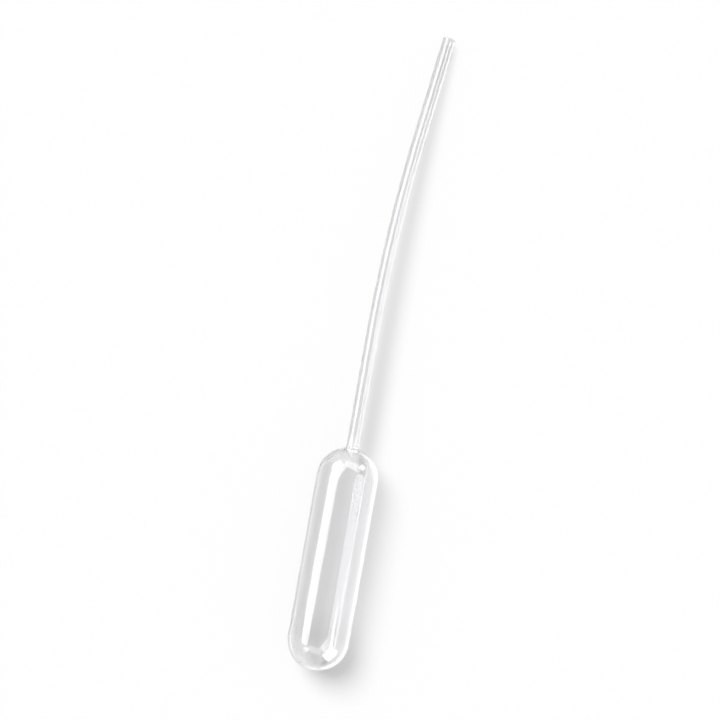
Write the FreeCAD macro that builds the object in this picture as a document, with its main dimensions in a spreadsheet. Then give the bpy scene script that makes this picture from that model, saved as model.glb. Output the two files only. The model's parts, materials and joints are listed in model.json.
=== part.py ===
import FreeCAD, Part
import math
import os

import Sketcher

# A dropper pipette of clear plastic, moulded in one piece, lying as it comes to rest.
#
# Row frame: the bulb's axis runs along Y with the stem towards +Y, Z is up, and the origin is under
# the middle of the length, on the surface that the pipette lies on.  The body's own frame has its
# origin at the centre of the bulb's front dome, where the path of the stem begins.  The stem bends
# down and towards +X, in a plane through the bulb's axis, just far enough for the tip to touch down.

# Driving dimensions, in millimetres and degrees.
DIMENSIONS = {
    "bulb_diameter": 14.8,
    "barrel_length": 39.2,
    "bulb_wall": 0.7,
    "stem_diameter": 3.2,
    "bore_diameter": 2.4,
    "neck_round": 1.2,
    "throat_round": 0.6,
    "root_run": 27.0,
    "bend_radius": 308.0,
    "bend_angle": 9.4,
    "tip_run": 25.0,
    "tip_round": 0.12,
}

# Sizes that follow from the driving ones, as expressions over the sheet.
BULB_RADIUS = "(Dimensions.bulb_diameter / 2)"
CAVITY_RADIUS = "(Dimensions.bulb_diameter / 2 - Dimensions.bulb_wall)"
STEM_RADIUS = "(Dimensions.stem_diameter / 2)"
BORE_RADIUS = "(Dimensions.bore_diameter / 2)"
STRAIGHT_RUN = f"({BULB_RADIUS} + Dimensions.root_run)"
BEND_SINE = "sin(Dimensions.bend_angle)"
BEND_COSINE = "cos(Dimensions.bend_angle)"

# The middle of the tip's face, ahead of the dome's centre and off the bulb's axis.
TIP_REACH = f"({STRAIGHT_RUN} + Dimensions.bend_radius * {BEND_SINE} + Dimensions.tip_run * {BEND_COSINE})"
TIP_DROP = f"(Dimensions.bend_radius * (1 - {BEND_COSINE}) + Dimensions.tip_run * {BEND_SINE})"

# The tip's rim is a thin ring of round section: its circle, and the place of its middle.
RIM_RADIUS = f"({STEM_RADIUS} - Dimensions.tip_round)"
RIM_DROP = f"({TIP_DROP} - Dimensions.tip_round * {BEND_SINE})"
RIM_FRONT = f"({TIP_REACH} + {RIM_RADIUS} * {BEND_SINE} + Dimensions.tip_round * (1 - {BEND_COSINE}))"

# Turned by the rest angle, that ring touches the surface that the barrel lies on.  A stem that bends
# too little to reach the surface hangs straight down.
REST_HEIGHT = f"({BULB_RADIUS} - Dimensions.tip_round)"
REST_ROOT = f"sqrt({RIM_DROP}^2 - {BEND_SINE}^2 * ({REST_HEIGHT}^2 - {RIM_RADIUS}^2))"
REST_COSINE = f"(({REST_HEIGHT} * {RIM_DROP} - {RIM_RADIUS} * {REST_ROOT})"
REST_COSINE += f" / ({RIM_DROP}^2 + ({RIM_RADIUS} * {BEND_SINE})^2))"

# A sketch numbers its origin and its horizontal axis -1, its vertical axis -2, and the points of a
# line or an arc 1, 2, 3.
BASE, UPRIGHT = -1, -2
START, END, CENTRE = 1, 2, 3


def make_sheet(doc):
    """The sheet that holds every driving dimension under its own alias."""
    sheet = doc.addObject("Spreadsheet::Sheet", "Dimensions")
    for row, (name, value) in enumerate(DIMENSIONS.items(), start=1):
        sheet.set(f"A{row}", name)
        sheet.set(f"B{row}", str(value))
        sheet.setAlias(f"B{row}", name)
    doc.recompute()


def new_sketch(body, name, role):
    """An empty sketch of the body on the origin plane that has this role."""
    sketch = body.newObject("Sketcher::SketchObject", name)
    plane = next(feature for feature in body.Origin.OriginFeatures if feature.Role == role)
    sketch.AttachmentSupport = [(plane, "")]
    sketch.MapMode = "FlatFace"
    return sketch


def arc(centre, radius, start, end):
    """A circle's arc in a sketch's plane, between two angles in degrees."""
    circle = Part.Circle(centre, FreeCAD.Vector(0, 0, 1), radius)
    return Part.ArcOfCircle(circle, math.radians(start), math.radians(end))


def constrain(sketch, *constraints):
    """Adds constraints that hold no size."""
    for constraint in constraints:
        sketch.addConstraint(Sketcher.Constraint(*constraint))


def drive(sketch, name, expression, *constraint):
    """Adds a constraint under a name and ties its size to an expression."""
    index = sketch.addConstraint(Sketcher.Constraint(*constraint))
    sketch.renameConstraint(index, name)
    sketch.setExpression(f"Constraints.{name}", expression)


def capsule_sketch(body, name, radius, radius_rule):
    """Half of a capsule's outline, on the -X side of its axis: a barrel between two quarter domes."""
    sketch = new_sketch(body, name, "XY_Plane")
    length = DIMENSIONS["barrel_length"]
    front_centre = FreeCAD.Vector(0, 0)
    rear_centre = FreeCAD.Vector(0, -length)
    front_shoulder = FreeCAD.Vector(-radius, 0)
    rear_shoulder = FreeCAD.Vector(-radius, -length)
    front_pole = FreeCAD.Vector(0, radius)
    rear_pole = FreeCAD.Vector(0, -length - radius)
    front = sketch.addGeometry(arc(front_centre, radius, 90, 180))
    barrel = sketch.addGeometry(Part.LineSegment(front_shoulder, rear_shoulder))
    rear = sketch.addGeometry(arc(rear_centre, radius, 180, 270))
    axis = sketch.addGeometry(Part.LineSegment(rear_pole, front_pole))
    constrain(
        sketch,
        ("Coincident", front, CENTRE, BASE, START),
        ("Tangent", front, END, barrel, START),
        ("Tangent", barrel, END, rear, START),
        ("Coincident", rear, END, axis, START),
        ("Coincident", axis, END, front, START),
        ("PointOnObject", rear, CENTRE, UPRIGHT),
        ("PointOnObject", axis, START, UPRIGHT),
        ("PointOnObject", axis, END, UPRIGHT),
        ("Vertical", barrel),
    )
    drive(sketch, "dome_radius", radius_rule, "Radius", front, radius)
    drive(sketch, "barrel_length", "Dimensions.barrel_length", "Distance", barrel, length)
    return sketch


def section_sketch(body, name, radius, radius_rule):
    """A circle about the bulb's axis, across the start of the stem's path."""
    sketch = new_sketch(body, name, "XZ_Plane")
    circle = sketch.addGeometry(Part.Circle(FreeCAD.Vector(0, 0), FreeCAD.Vector(0, 0, 1), radius))
    constrain(sketch, ("Coincident", circle, CENTRE, BASE, START))
    drive(sketch, "radius", radius_rule, "Radius", circle, radius)
    return sketch


def path_sketch(body):
    """The stem's middle line: straight out of the bulb, one long bend, and straight to the tip."""
    sketch = new_sketch(body, "StemPath", "YZ_Plane")
    unturned = FreeCAD.Rotation(FreeCAD.Vector(-1, 0, 0), 0)
    sketch.AttachmentOffset = FreeCAD.Placement(FreeCAD.Vector(), unturned)
    sketch.setExpression("AttachmentOffset.Rotation.Angle", f"acos(min(1; {REST_COSINE}))")
    run = DIMENSIONS["bulb_diameter"] / 2 + DIMENSIONS["root_run"]
    radius = DIMENSIONS["bend_radius"]
    degrees = DIMENSIONS["bend_angle"]
    angle = math.radians(degrees)
    tip_run = DIMENSIONS["tip_run"]
    bend_start = FreeCAD.Vector(run, 0)
    bend_centre = FreeCAD.Vector(run, -radius)
    bend_end = bend_centre + FreeCAD.Vector(math.sin(angle), math.cos(angle)) * radius
    tip = bend_end + FreeCAD.Vector(math.cos(angle), -math.sin(angle)) * tip_run
    root = sketch.addGeometry(Part.LineSegment(FreeCAD.Vector(0, 0), bend_start))
    bend = sketch.addGeometry(arc(bend_centre, radius, 90 - degrees, 90))
    end = sketch.addGeometry(Part.LineSegment(bend_end, tip))
    constrain(
        sketch,
        ("Coincident", root, START, BASE, START),
        ("PointOnObject", root, END, BASE),
        ("Tangent", root, END, bend, END),
        ("Tangent", bend, START, end, START),
    )
    drive(sketch, "straight_run", STRAIGHT_RUN, "Distance", root, run)
    drive(sketch, "bend_radius", "Dimensions.bend_radius", "Radius", bend, radius)
    drive(sketch, "bend_angle", "-Dimensions.bend_angle * 1 deg", "Angle", end, -angle)
    drive(sketch, "tip_run", "Dimensions.tip_run", "Distance", end, tip_run)
    return sketch


def turn(body, kind, name, outline):
    """A full turn of an outline about its own vertical axis, which is the bulb's."""
    feature = body.newObject(kind, name)
    feature.Profile = outline
    feature.ReferenceAxis = (outline, ["V_Axis"])
    feature.Angle = 360
    return feature


def sweep(body, kind, name, section, path):
    """A round section carried along the stem's path."""
    feature = body.newObject(kind, name)
    feature.Profile = section
    feature.Spine = path
    return feature


def dome_circles(shape, radius):
    """The names of the edges that are circles of this radius within the bulb's front dome."""
    names = []
    for number, edge in enumerate(shape.Edges, start=1):
        if edge.Degenerated or not isinstance(edge.Curve, Part.Circle):
            continue
        in_dome = 0 < edge.Curve.Center.y < DIMENSIONS["bulb_diameter"] / 2
        if in_dome and math.isclose(edge.Curve.Radius, radius, rel_tol=1e-6):
            names.append(f"Edge{number}")
    return names


def flat_faces(shape):
    """The names of the flat faces, which are the stem's cut end alone."""
    return [f"Face{number}" for number, face in enumerate(shape.Faces, start=1)
            if isinstance(face.Surface, Part.Plane)]


def round_off(body, name, base, parts, size):
    """A fillet on the named edges or faces of the feature before it."""
    fillet = body.newObject("PartDesign::Fillet", name)
    fillet.Base = (base, parts)
    fillet.setExpression("Radius", f"Dimensions.{size}")
    body.Document.recompute()
    return fillet


def lay_down(body):
    """Moves the middle of the length to the origin, and the barrel's lowest line to its height."""
    body.setExpression("Placement.Base.y", f"(Dimensions.barrel_length + {BULB_RADIUS} - {RIM_FRONT}) / 2")
    body.setExpression("Placement.Base.z", BULB_RADIUS)


def make_pipette(doc):
    """The whole pipette: bulb, neck and stem round one hollow that is open at the tip."""
    body = doc.addObject("PartDesign::Body", "Pipette")
    body.Label = "pipette"
    bulb_radius = DIMENSIONS["bulb_diameter"] / 2
    stem_radius = DIMENSIONS["stem_diameter"] / 2
    bore_radius = DIMENSIONS["bore_diameter"] / 2
    cavity_radius = bulb_radius - DIMENSIONS["bulb_wall"]

    bulb_outline = capsule_sketch(body, "BulbOutline", bulb_radius, BULB_RADIUS)
    turn(body, "PartDesign::Revolution", "Bulb", bulb_outline)
    path = path_sketch(body)
    stem_section = section_sketch(body, "StemSection", stem_radius, STEM_RADIUS)
    stem = sweep(body, "PartDesign::AdditivePipe", "Stem", stem_section, path)
    doc.recompute()
    neck = round_off(body, "Neck", stem, dome_circles(stem.Shape, stem_radius), "neck_round")

    cavity_outline = capsule_sketch(body, "CavityOutline", cavity_radius, CAVITY_RADIUS)
    cavity = turn(body, "PartDesign::Groove", "Cavity", cavity_outline)
    bore_section = section_sketch(body, "BoreSection", bore_radius, BORE_RADIUS)
    bore = sweep(body, "PartDesign::SubtractivePipe", "Bore", bore_section, path)
    doc.recompute()
    if not neck.Shape.Volume > cavity.Shape.Volume > bore.Shape.Volume:
        raise RuntimeError("the bulb or the stem is not hollow")
    throat = round_off(body, "Throat", bore, dome_circles(bore.Shape, bore_radius), "throat_round")
    round_off(body, "Tip", throat, flat_faces(throat.Shape), "tip_round")
    lay_down(body)
    doc.recompute()
    return body


def check(doc, bodies):
    """Stops if any object failed, or if a body is not one valid solid."""
    for item in doc.Objects:
        if {"Invalid", "Error"} & set(item.State):
            raise RuntimeError(f"{item.Name} failed: {item.State}")
    for body in bodies:
        shape = body.Shape
        if shape.isNull() or not shape.isValid() or len(shape.Solids) != 1:
            raise RuntimeError(f"{body.Label} is not one valid solid")


def main():
    doc = FreeCAD.newDocument("pipette")
    make_sheet(doc)
    bodies = [make_pipette(doc)]
    check(doc, bodies)
    os.makedirs("parts", exist_ok=True)
    for body in bodies:
        body.Shape.exportStep(f"parts/{body.Label}.step")


main()
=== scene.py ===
import json
import math

import bmesh
import bpy
from mathutils import Matrix, Vector


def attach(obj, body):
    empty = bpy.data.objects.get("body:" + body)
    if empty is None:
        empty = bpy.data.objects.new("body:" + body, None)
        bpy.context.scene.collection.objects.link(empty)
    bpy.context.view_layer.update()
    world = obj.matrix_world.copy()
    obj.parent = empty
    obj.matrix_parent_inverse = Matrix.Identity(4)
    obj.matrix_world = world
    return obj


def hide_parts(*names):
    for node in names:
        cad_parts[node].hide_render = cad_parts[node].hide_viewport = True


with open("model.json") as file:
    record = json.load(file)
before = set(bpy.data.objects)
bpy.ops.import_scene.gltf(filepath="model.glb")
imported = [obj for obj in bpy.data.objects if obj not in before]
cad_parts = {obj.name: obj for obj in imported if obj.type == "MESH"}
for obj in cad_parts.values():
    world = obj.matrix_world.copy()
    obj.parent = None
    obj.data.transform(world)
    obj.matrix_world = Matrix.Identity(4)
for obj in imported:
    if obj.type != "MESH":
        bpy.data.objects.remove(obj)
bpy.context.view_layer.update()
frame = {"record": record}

# A clear plastic dropper pipette, lying on a white surface and seen from straight above.
# Lengths are in metres, in the frame's own axes: +Y from bulb to stem, +Z up.

mounts = {mount["name"]: mount for mount in frame["record"]["mounts"]}


def mount_size(name, key):
    """A mount's size in metres."""
    return mounts[name]["dims"][key] / 1000


# Sizes that the frame gives.
BULB_RADIUS = mount_size("bulb_barrel", "r_mm")
BARREL_LENGTH = mount_size("bulb_barrel", "length_mm")
STEM_RADIUS = mount_size("stem_tip", "r_mm")
BORE_RADIUS = mount_size("tip_bore", "r_mm")

# Sizes of the moulding that it doesn't.
BULB_WALL = 0.0007
NECK_ROUND = 0.0012
THROAT_ROUND = 0.0006
TIP_ROUND = 0.00012

CAVITY_RADIUS = BULB_RADIUS - BULB_WALL

# The mould's seam, a fine bead: how far to the side it lies, the bead's radius and the least part of it that is
# left at the ends, how far it runs to the rear and over how much of that it thins out, and how far it goes
# round the front dome and over how much of that it thins out.
SEAM_OFF = 0.0043
SEAM_RADIUS = 0.0001
SEAM_LEAST = 0.02
SEAM_LENGTH = 0.022
SEAM_THINS = 0.014
SEAM_WRAP = math.radians(84)
SEAM_WRAP_THINS = 0.5  # radians
SEAM_STEPS = 60
SEAM_SIDES = 12

# How finely the skin is cut, and how near the middle line a ring is a single point.
SEGMENTS = 128
ON_LINE = 1e-9
DOME_STEP = math.radians(3)
ROUND_STEP = math.radians(10)
BARREL_STEP = 0.0008
STEM_STEP = 0.0008

# The clear plastic, from its clearest to its milkiest, and the cloudier plastic of its seam.
PLASTIC_CLEAREST = (0.975, 0.974, 0.979, 1)
PLASTIC_MILKIEST = (0.963, 0.962, 0.97, 1)
PLASTIC_IOR = 1.5
SPECK_COLOUR = (0.72, 0.72, 0.73, 1)
SEAM_COLOUR = (0.95, 0.95, 0.95, 1)
SEAM_ROUGHNESS = 0.3
SEAM_CLEAR = 0.2

# Waves of the moulded skin, its cloudier patches, and the few specks in it: how many to a metre, and how much.
WAVES_PER_METRE = 160
WAVE_HEIGHT = 0.00002
CLOUDS_PER_METRE = 90
CLOUDS_FROM, CLOUDS_TO = 0.5, 0.75
CLOUD_ROUGHNESS = 0.02
SPECKS_PER_METRE = 250
SPECK_RADIUS = 0.00011
SPECK_CORE = 0.7

# How much of a lamp's light passes each face of the wall on its way to the floor, and where it has become the
# stem's, in bulb radii past the front dome's centre.
REAR_TINT = 0.66
BULB_TINT = 0.86
STEM_TINT = 0.78
STEM_TINT_FROM = 1.6
TIP_TINT = 0.92

# The white floor, and what the camera sees added to it so that it looks white.
FLOOR_HALF = 3.0
FLOOR_WHITE = 0.66
FLOOR_ROUGHNESS = 0.9
FLOOR_LIFT = 0.335

# Painted light on the floor, seen through the plastic only. It stands in for the light that the plastic would
# gather there, as (place, level) stops: beside the bulb's axis, beside the stem's middle line, and behind the
# centre of the rear dome. Past the front dome the bulb's gives way to the stem's, over this part of the bulb's
# radius.
BULB_PAINTED_LIGHT = ((-0.05, 0.2), (-0.02, 0.5), (-0.012, 0.06), (-0.0055, 0.02), (-0.0035, 0.2), (0.0, 0.2),
             (0.0018, 0.28), (0.0026, 0.12), (0.0038, 0.12), (0.0055, 0.42), (0.0075, 0.45),
             (0.009, 0.62), (0.012, 0.6), (0.02, 0.35), (0.05, 0.2))
STEM_PAINTED_LIGHT = ((-0.05, 0.2), (-0.012, 0.06), (-0.002, 0.06), (-0.0008, 0.0), (0.001, 0.0),
             (0.003, 0.45), (0.02, 0.45), (0.05, 0.2))
REAR_PAINTED_LIGHT = ((0.05, 0.0), (0.02, 0.12), (0.013, 0.12), (0.008, 0.08), (0.0055, 0.09), (0.003, 0.07),
             (0.001, 0.0))
NECK_FADE = 0.5

# The room: its light, what gloss and glass show of it above, behind and low down, and between which slopes
# of a direction it changes.
ROOM_LEVEL = 0.15
ROOM_SHOWN = 1.5
ROOM_REAR = 1.4
REAR_FROM, REAR_TO = -0.75, -0.25
ROOM_LOW = 1.0
LOW_FROM, LOW_TO = 0.05, 0.35

# Soft panels that only gloss and glass show, facing the bulb's middle from this far off: degrees round
# from +Y, degrees up, width and height as parts of the distance, and level.
PANEL_DISTANCE = 0.45
PANELS = {
    "left": (-68.5, 39.6, 1.38, 0.7, 4.1),
    "right": (100, 20.2, 1.2, 0.08, 5.4),
    "right_top": (100, 24.6, 1.2, 0.065, 1.8),
    "front": (12, 29, 1.06, 0.5, 2.8),
    "corner": (42, 10, 0.28, 0.34, 6.0),
    "rear": (130.5, 22, 0.7, 0.76, 6.0),
}

# The one lamp: the way to it, its spread in degrees, and its strength.
KEY_FROM = (-0.5, 0.58, 1.0)
KEY_SPREAD = 30
KEY_STRENGTH = 3.36

# How often light may pass or mirror in the walls.
LIGHT_BOUNCES = 200

# The camera looks straight down, turned so that the bulb leans as in the photograph.
CAMERA_LEAN = math.radians(10.12)
CAMERA_LENS = 60.0
CAMERA_SENSOR = 36
CAMERA_NEAR = 0.01
CAMERA_PLACE = (-0.00197, -0.00297, 0.2953)


class StemPath:
    """The middle line: along the bulb's axis, round one bend, and straight on to the tip.

    Places on it are lengths along it from the centre of the bulb's front dome.
    """

    def __init__(self):
        self.start = Vector(mounts["bulb_barrel"]["pos_m"]) + Vector((0, BARREL_LENGTH / 2, 0))
        self.along = Vector((0, 1, 0))
        tip_mount = mounts["stem_tip"]
        self.tip_along = Vector(tip_mount["axis"]).normalized()
        tip_run = tip_mount["dims"]["length_mm"] / 1000 + TIP_ROUND
        bend_end = Vector(tip_mount["pos_m"]) - self.tip_along * (tip_run / 2)
        self.down = (self.tip_along - self.along * self.tip_along.dot(self.along)).normalized()
        self.angle = self.tip_along.angle(self.along)
        drop = (bend_end - self.start).dot(self.down)
        self.radius = drop / (1 - math.cos(self.angle))
        reach = (bend_end - self.start).dot(self.along)
        self.bend_from = reach - self.radius * math.sin(self.angle)
        self.bend_to = self.bend_from + self.radius * self.angle
        self.end = self.bend_to + tip_run

    def place(self, s):
        """The point of the line at a length along it, and the two directions across it there."""
        turned = min(max((s - self.bend_from) / self.radius, 0), self.angle)
        ahead = self.along * math.cos(turned) + self.down * math.sin(turned)
        across = self.down * math.cos(turned) - self.along * math.sin(turned)
        side = ahead.cross(across)
        point = self.start + self.along * min(s, self.bend_from)
        point += self.along * self.radius * math.sin(turned)
        point += self.down * self.radius * (1 - math.cos(turned))
        point += ahead * max(s - self.bend_to, 0)
        return point, across, side


path = StemPath()


def steps(length, step):
    """How many equal steps no longer than this cover a length."""
    return max(1, math.ceil(abs(length) / step))


def arc(centre, radius, start, end, step):
    """Points of an arc in the half-section's plane, which is (length along the line, distance off it)."""
    count = steps(end - start, step)
    angles = [start + (end - start) * i / count for i in range(count + 1)]
    return [(centre[0] + radius * math.cos(a), centre[1] + radius * math.sin(a)) for a in angles]


def line(start, end, step):
    """Points of a straight stretch of the half-section, without its ends."""
    count = steps(math.dist(start, end), step)
    return [(start[0] + (end[0] - start[0]) * i / count, start[1] + (end[1] - start[1]) * i / count)
            for i in range(1, count)]


def skin_side(dome_radius, tube_radius, blend_radius, tip_end):
    """Half-section of one side of the wall: rear dome, barrel, front dome, rounding, tube."""
    blend_off = tube_radius + blend_radius
    blend_at = math.sqrt((dome_radius + blend_radius) ** 2 - blend_off ** 2)
    touch = math.atan2(blend_off, blend_at)
    points = arc((-BARREL_LENGTH, 0), dome_radius, math.pi, math.pi / 2, DOME_STEP)
    points += line((-BARREL_LENGTH, dome_radius), (0, dome_radius), BARREL_STEP)
    points += arc((0, 0), dome_radius, math.pi / 2, touch, DOME_STEP)
    points += arc((blend_at, blend_off), blend_radius, math.pi + touch, 1.5 * math.pi, ROUND_STEP)[1:]
    points += line((blend_at, tube_radius), (tip_end, tube_radius), STEM_STEP)
    return points


def half_section():
    """The whole wall's half-section, from the outer rear pole round the tip to the inner rear pole."""
    tip = path.end
    outer = skin_side(BULB_RADIUS, STEM_RADIUS, NECK_ROUND, tip - TIP_ROUND)
    inner = skin_side(CAVITY_RADIUS, BORE_RADIUS, THROAT_ROUND, tip - TIP_ROUND)
    outer_rim = arc((tip - TIP_ROUND, STEM_RADIUS - TIP_ROUND), TIP_ROUND, math.pi / 2, 0, ROUND_STEP)
    inner_rim = arc((tip - TIP_ROUND, BORE_RADIUS + TIP_ROUND), TIP_ROUND, 0, -math.pi / 2, ROUND_STEP)
    return outer + outer_rim + inner_rim + inner[::-1]


def add_object(name, data):
    """A new object in the scene."""
    thing = bpy.data.objects.new(name, data)
    bpy.context.scene.collection.objects.link(thing)
    return thing


def smooth_piece(name, mesh):
    """A smoothly shaded object from a finished mesh, its faces turned outward."""
    bmesh.ops.recalc_face_normals(mesh, faces=mesh.faces)
    data = bpy.data.meshes.new(name)
    mesh.to_mesh(data)
    mesh.free()
    data.shade_smooth()
    return add_object(name, data)


def make_skin():
    """The pipette's whole wall as one closed mesh."""
    mesh = bmesh.new()
    section = half_section()
    rings = []
    for s, off in section:
        point, across, side = path.place(s)
        if off < ON_LINE:
            rings.append([mesh.verts.new(point)])
            continue
        ring = []
        for k in range(SEGMENTS):
            turn = 2 * math.pi * k / SEGMENTS
            ring.append(mesh.verts.new(point + (across * math.cos(turn) + side * math.sin(turn)) * off))
        rings.append(ring)
    for near, far in zip(rings, rings[1:]):
        for k in range(SEGMENTS):
            n = (k + 1) % SEGMENTS
            if len(near) == 1:
                mesh.faces.new((near[0], far[n], far[k]))
            elif len(far) == 1:
                mesh.faces.new((near[k], near[n], far[0]))
            else:
                mesh.faces.new((near[k], near[n], far[n], far[k]))
    return smooth_piece("clear_wall", mesh)


def make_seam():
    """The mould's fine raised seam: along the barrel, thinning out to the rear, and over the front dome."""
    arch = math.sqrt(BULB_RADIUS ** 2 - SEAM_OFF ** 2)
    points = []
    for i in range(SEAM_STEPS + 1):
        ahead = -SEAM_LENGTH * (1 - i / SEAM_STEPS)
        full = min(1.0, (ahead + SEAM_LENGTH) / SEAM_THINS)
        points.append((ahead, arch, full))
    for i in range(1, SEAM_STEPS + 1):
        turn = SEAM_WRAP * i / SEAM_STEPS
        full = min(1.0, (SEAM_WRAP - turn) / SEAM_WRAP_THINS)
        points.append((arch * math.sin(turn), arch * math.cos(turn), full))
    mesh = bmesh.new()
    rings = []
    for ahead, height, full in points:
        centre = path.start + Vector((SEAM_OFF, ahead, height))
        outward = Vector((SEAM_OFF, max(ahead, 0), height)).normalized()
        across = Vector((0, 1, 0)) if ahead < 0 else Vector((0, height, -ahead)).normalized()
        side = outward.cross(across)
        radius = SEAM_RADIUS * max(full, SEAM_LEAST)
        rings.append([mesh.verts.new(centre + (outward * math.cos(a) + side * math.sin(a)) * radius)
                      for a in (2 * math.pi * k / SEAM_SIDES for k in range(SEAM_SIDES))])
    for near, far in zip(rings, rings[1:]):
        for k in range(SEAM_SIDES):
            mesh.faces.new((near[k], near[k - 1], far[k - 1], far[k]))
    mesh.faces.new(rings[0])
    mesh.faces.new(rings[-1])
    return smooth_piece("seam", mesh)


def add_node(tree, kind, **settings):
    """A new node, with its inputs set by name or number."""
    node = tree.nodes.new(kind)
    for name, value in settings.items():
        node.inputs[name.replace("_", " ")].default_value = value
    return node


def combine(tree, operation, *values):
    """The sum, product, difference or maximum of values, each a number or another node's output."""
    total = values[0]
    for value in values[1:]:
        node = tree.nodes.new("ShaderNodeMath")
        node.operation = operation
        for place, part in enumerate((total, value)):
            if isinstance(part, float):
                node.inputs[place].default_value = part
            else:
                tree.links.new(part, node.inputs[place])
        total = node.outputs[0]
    return total


def by_glass(tree, paths):
    """1 for rays that come by way of glass or gloss."""
    return combine(tree, "MAXIMUM", paths.outputs["Is Transmission Ray"], paths.outputs["Is Glossy Ray"])


def levels(tree, value, stops):
    """A grey level that follows a value, between (value, level) stops."""
    first, last = stops[0][0], stops[-1][0]
    span = add_node(tree, "ShaderNodeMapRange", From_Min=first, From_Max=last)
    tree.links.new(value, span.inputs["Value"])
    ramp = tree.nodes.new("ShaderNodeValToRGB")
    marks = ramp.color_ramp.elements
    while len(marks) < len(stops):
        marks.new(0.5)
    for mark, (at, level) in zip(marks, stops):
        mark.position = (at - first) / (last - first)
        mark.color = (level, level, level, 1)
    tree.links.new(span.outputs["Result"], ramp.inputs["Fac"])
    return ramp.outputs["Color"]


def place_on(tree):
    """The point's own X, Y and Z in the frame."""
    place = tree.nodes.new("ShaderNodeNewGeometry")
    split = tree.nodes.new("ShaderNodeSeparateXYZ")
    tree.links.new(place.outputs["Position"], split.inputs[0])
    return split.outputs


def along_axis(tree, axis, stops):
    """A grey level that changes along one axis of the frame."""
    return levels(tree, place_on(tree)[axis], stops)


def beside_stem(tree, stops):
    """A grey level that changes with the distance beside the stem, whose middle line is near a parabola."""
    place = place_on(tree)
    tip = path.place(path.end)[0]
    bend_start = path.start.y + path.bend_from
    sag = tip.x / (tip.y - bend_start) ** 2
    past = combine(tree, "MAXIMUM", combine(tree, "ADD", place["Y"], -bend_start), 0.0)
    line = combine(tree, "MULTIPLY", past, past, sag)
    return levels(tree, combine(tree, "SUBTRACT", place["X"], line), stops)


def seam_plastic():
    """The same plastic, cloudier, as it is where the mould's halves met."""
    material = bpy.data.materials.new("seam_plastic")
    material.use_nodes = True
    shader = material.node_tree.nodes["Principled BSDF"]
    shader.inputs["Base Color"].default_value = SEAM_COLOUR
    shader.inputs["Roughness"].default_value = SEAM_ROUGHNESS
    shader.inputs["IOR"].default_value = PLASTIC_IOR
    shader.inputs["Transmission Weight"].default_value = SEAM_CLEAR
    return material


def mould_detail(tree, shader):
    """What moulding leaves in the plastic: a faintly wavy skin, cloudier patches, and a few specks."""
    place = tree.nodes.new("ShaderNodeTexCoord").outputs["Object"]
    waves = add_node(tree, "ShaderNodeTexNoise", Scale=WAVES_PER_METRE, Detail=1)
    clouds = add_node(tree, "ShaderNodeTexNoise", Scale=CLOUDS_PER_METRE, Detail=3)
    specks = add_node(tree, "ShaderNodeTexVoronoi", Scale=SPECKS_PER_METRE)
    for texture in (waves, clouds, specks):
        tree.links.new(place, texture.inputs["Vector"])
    skin = add_node(tree, "ShaderNodeBump", Distance=WAVE_HEIGHT)
    tree.links.new(waves.outputs["Fac"], skin.inputs["Height"])
    tree.links.new(skin.outputs["Normal"], shader.inputs["Normal"])
    rough = add_node(tree, "ShaderNodeMapRange", From_Min=CLOUDS_FROM, From_Max=CLOUDS_TO,
                     To_Max=CLOUD_ROUGHNESS)
    tree.links.new(clouds.outputs["Fac"], rough.inputs["Value"])
    tree.links.new(rough.outputs["Result"], shader.inputs["Roughness"])
    colour = tree.nodes.new("ShaderNodeValToRGB")
    colour.color_ramp.elements[0].color = PLASTIC_CLEAREST
    colour.color_ramp.elements[1].color = PLASTIC_MILKIEST
    tree.links.new(clouds.outputs["Fac"], colour.inputs["Fac"])
    edge = SPECK_RADIUS * SPECKS_PER_METRE
    clear = levels(tree, specks.outputs["Distance"], ((0.0, 0.0), (edge * SPECK_CORE, 0.0), (edge, 1.0)))
    mix = tree.nodes.new("ShaderNodeMixRGB")
    mix.inputs["Color1"].default_value = SPECK_COLOUR
    tree.links.new(colour.outputs["Color"], mix.inputs["Color2"])
    tree.links.new(clear, mix.inputs["Fac"])
    tree.links.new(mix.outputs["Color"], shader.inputs["Base Color"])


def clear_plastic():
    """Clear moulded plastic. Lamps reach the floor through it, dimmed as two walls dim them."""
    material = bpy.data.materials.new("clear_plastic")
    material.use_nodes = True
    tree = material.node_tree
    shader = tree.nodes["Principled BSDF"]
    mould_detail(tree, shader)
    shader.inputs["IOR"].default_value = PLASTIC_IOR
    shader.inputs["Transmission Weight"].default_value = 1.0
    paths = tree.nodes.new("ShaderNodeLightPath")
    straight = tree.nodes.new("ShaderNodeBsdfTransparent")
    front = path.start.y
    rear = front - BARREL_LENGTH
    tip = path.place(path.end)[0].y
    tint = along_axis(tree, "Y", ((rear - BULB_RADIUS, REAR_TINT), (rear + BULB_RADIUS, BULB_TINT),
                                  (front + BULB_RADIUS, BULB_TINT),
                                  (front + STEM_TINT_FROM * BULB_RADIUS, STEM_TINT), (tip, TIP_TINT)))
    tree.links.new(tint, straight.inputs["Color"])
    for_lamps = tree.nodes.new("ShaderNodeMixShader")
    for_floor = tree.nodes.new("ShaderNodeMixShader")
    tree.links.new(paths.outputs["Is Diffuse Ray"], for_floor.inputs["Fac"])
    tree.links.new(shader.outputs["BSDF"], for_floor.inputs[1])
    tree.links.new(straight.outputs["BSDF"], for_floor.inputs[2])
    tree.links.new(paths.outputs["Is Shadow Ray"], for_lamps.inputs["Fac"])
    tree.links.new(for_floor.outputs["Shader"], for_lamps.inputs[1])
    tree.links.new(straight.outputs["BSDF"], for_lamps.inputs[2])
    tree.links.new(for_lamps.outputs["Shader"], tree.nodes["Material Output"].inputs["Surface"])
    return material


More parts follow.
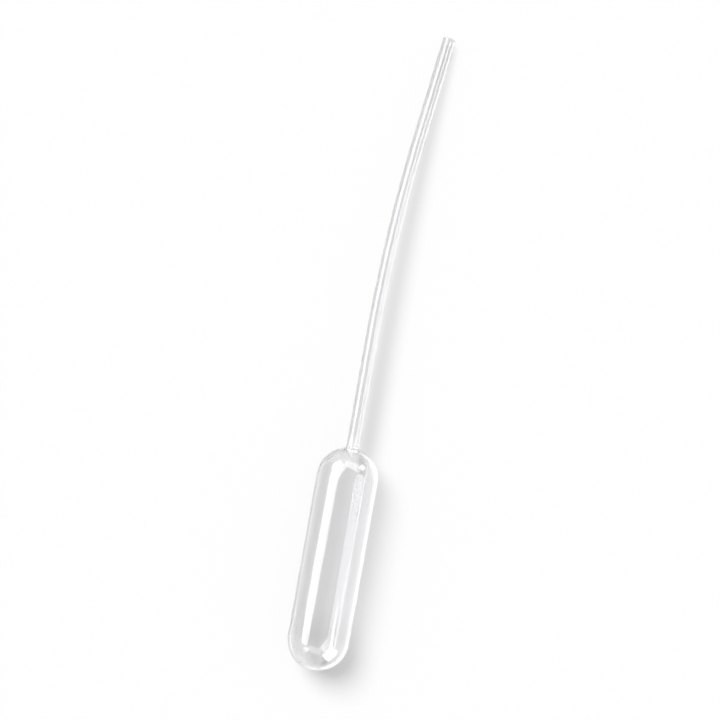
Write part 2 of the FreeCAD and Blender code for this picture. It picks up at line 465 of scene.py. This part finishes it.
def painted_floor_light(tree):
    """Painted light on the floor, standing in for what the plastic would gather there: under the bulb, under
    the stem, and behind the bulb.
    """
    rear = path.start.y - BARREL_LENGTH
    neck = path.start.y + BULB_RADIUS
    past_neck = neck + NECK_FADE * BULB_RADIUS
    under_bulb = combine(tree, "MULTIPLY", along_axis(tree, "X", BULB_PAINTED_LIGHT),
                         along_axis(tree, "Y", ((neck, 1.0), (past_neck, 0.0))))
    under_stem = combine(tree, "MULTIPLY", beside_stem(tree, STEM_PAINTED_LIGHT),
                         along_axis(tree, "Y", ((neck, 0.0), (past_neck, 1.0))))
    behind = along_axis(tree, "Y", [(rear - off, level) for off, level in REAR_PAINTED_LIGHT])
    return combine(tree, "ADD", under_stem, behind, under_bulb)


def make_floor():
    """A wide white surface. It keeps the pipette's shadow, and shows painted light to rays that come by way of
    the plastic.
    """
    data = bpy.data.meshes.new("floor")
    corners = [(-FLOOR_HALF, -FLOOR_HALF, 0), (FLOOR_HALF, -FLOOR_HALF, 0),
               (FLOOR_HALF, FLOOR_HALF, 0), (-FLOOR_HALF, FLOOR_HALF, 0)]
    data.from_pydata(corners, [], [(0, 1, 2, 3)])
    floor = add_object("floor", data)
    material = bpy.data.materials.new("white_surface")
    material.use_nodes = True
    tree = material.node_tree
    shader = tree.nodes["Principled BSDF"]
    shader.inputs["Base Color"].default_value = (FLOOR_WHITE, FLOOR_WHITE, FLOOR_WHITE, 1)
    shader.inputs["Roughness"].default_value = FLOOR_ROUGHNESS
    shader.inputs["Specular IOR Level"].default_value = 0.0
    paths = tree.nodes.new("ShaderNodeLightPath")
    seen = combine(tree, "MULTIPLY", paths.outputs["Is Camera Ray"], FLOOR_LIFT)
    # Painted light: emission that only rays by way of glass or gloss see, in place of the light the plastic
    # would gather on the floor.
    shown = combine(tree, "MULTIPLY", by_glass(tree, paths), painted_floor_light(tree))
    glow = add_node(tree, "ShaderNodeEmission", Color=(1, 1, 1, 1))
    tree.links.new(combine(tree, "ADD", seen, shown), glow.inputs["Strength"])
    both = tree.nodes.new("ShaderNodeAddShader")
    tree.links.new(shader.outputs["BSDF"], both.inputs[0])
    tree.links.new(glow.outputs["Emission"], both.inputs[1])
    tree.links.new(both.outputs["Shader"], tree.nodes["Material Output"].inputs["Surface"])
    data.materials.append(material)


def aim(thing, target, up):
    """Turns an object's -Z to a point, with its Y as near as can be to a direction."""
    back = (thing.location - target).normalized()
    right = up.cross(back).normalized()
    top = back.cross(right)
    thing.rotation_mode = "QUATERNION"
    thing.rotation_quaternion = Matrix((right, top, back)).transposed().to_quaternion()


def make_camera():
    """The camera, straight above."""
    data = bpy.data.cameras.new("camera")
    data.lens = CAMERA_LENS
    data.sensor_width = CAMERA_SENSOR
    data.clip_start = CAMERA_NEAR
    camera = add_object("camera", data)
    camera.location = CAMERA_PLACE
    below = Vector((camera.location.x, camera.location.y, 0))
    aim(camera, below, Vector((-math.sin(CAMERA_LEAN), math.cos(CAMERA_LEAN), 0)))
    bpy.context.scene.camera = camera


def area_light(name, location, target, up, width, height, power):
    """A rectangular lamp that faces a point."""
    data = bpy.data.lights.new(name, "AREA")
    data.shape = "RECTANGLE"
    data.size = width
    data.size_y = height
    data.energy = power
    light = add_object(name, data)
    light.location = location
    aim(light, target, up)
    return light


def softbox(name, side, rise, width, height, level):
    """A panel that faces the bulb's middle; only gloss and glass show it."""
    middle = path.start - path.along * BARREL_LENGTH / 2
    turn, rise = math.radians(side), math.radians(rise)
    toward = Vector((math.sin(turn) * math.cos(rise), math.cos(turn) * math.cos(rise), math.sin(rise)))
    panel = area_light(name, middle + toward * PANEL_DISTANCE, middle, Vector((0, 0, 1)),
                       width * PANEL_DISTANCE, height * PANEL_DISTANCE,
                       level * math.pi * width * height * PANEL_DISTANCE ** 2)
    panel.visible_diffuse = False
    panel.visible_camera = False


def light_scene():
    """The room's even light, the panels that the plastic shows, and the one lamp."""
    world = bpy.data.worlds.new("room")
    bpy.context.scene.world = world
    world.use_nodes = True
    tree = world.node_tree
    lighting = tree.nodes["Background"]
    lighting.inputs["Color"].default_value = (1, 1, 1, 1)
    paths = tree.nodes.new("ShaderNodeLightPath")
    direction = tree.nodes.new("ShaderNodeTexCoord")
    slope = tree.nodes.new("ShaderNodeSeparateXYZ")
    tree.links.new(direction.outputs["Generated"], slope.inputs[0])
    rear = add_node(tree, "ShaderNodeMapRange", From_Min=REAR_FROM, From_Max=REAR_TO,
                    To_Min=ROOM_REAR - ROOM_LEVEL, To_Max=ROOM_SHOWN - ROOM_LEVEL)
    tree.links.new(slope.outputs["Y"], rear.inputs["Value"])
    low = add_node(tree, "ShaderNodeMapRange", From_Min=LOW_FROM, From_Max=LOW_TO,
                   To_Min=ROOM_LOW / ROOM_SHOWN, To_Max=1.0)
    tree.links.new(slope.outputs["Z"], low.inputs["Value"])
    seen = combine(tree, "MULTIPLY", paths.outputs["Is Camera Ray"], 1.0 - ROOM_LEVEL)
    shown = combine(tree, "MULTIPLY", rear.outputs["Result"], low.outputs["Result"], by_glass(tree, paths))
    tree.links.new(combine(tree, "ADD", seen, shown, ROOM_LEVEL), lighting.inputs["Strength"])
    for name, panel in PANELS.items():
        softbox("panel_" + name, *panel)
    key = bpy.data.lights.new("key", "SUN")
    key.angle = math.radians(KEY_SPREAD)
    key.energy = KEY_STRENGTH
    lamp = add_object("key", key)
    lamp.location = Vector(KEY_FROM)
    aim(lamp, Vector((0, 0, 0)), Vector((0, 1, 0)))
    lamp.visible_glossy = False
    lamp.visible_transmission = False
    lamp.visible_camera = False


skin = make_skin()
seam = make_seam()
skin.data.materials.append(clear_plastic())
seam.data.materials.append(seam_plastic())
for piece in (skin, seam):
    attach(piece, "root")
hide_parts("pipette")
make_floor()
make_camera()
light_scene()
bpy.context.scene.view_settings.view_transform = "Standard"
bpy.context.scene.cycles.max_bounces = LIGHT_BOUNCES
bpy.context.scene.cycles.glossy_bounces = LIGHT_BOUNCES
bpy.context.scene.cycles.transmission_bounces = LIGHT_BOUNCES
# The plastic's own colour pass is noisy. The denoiser goes by the picture alone, which keeps fine lines clean.
bpy.context.scene.cycles.denoising_input_passes = "RGB"
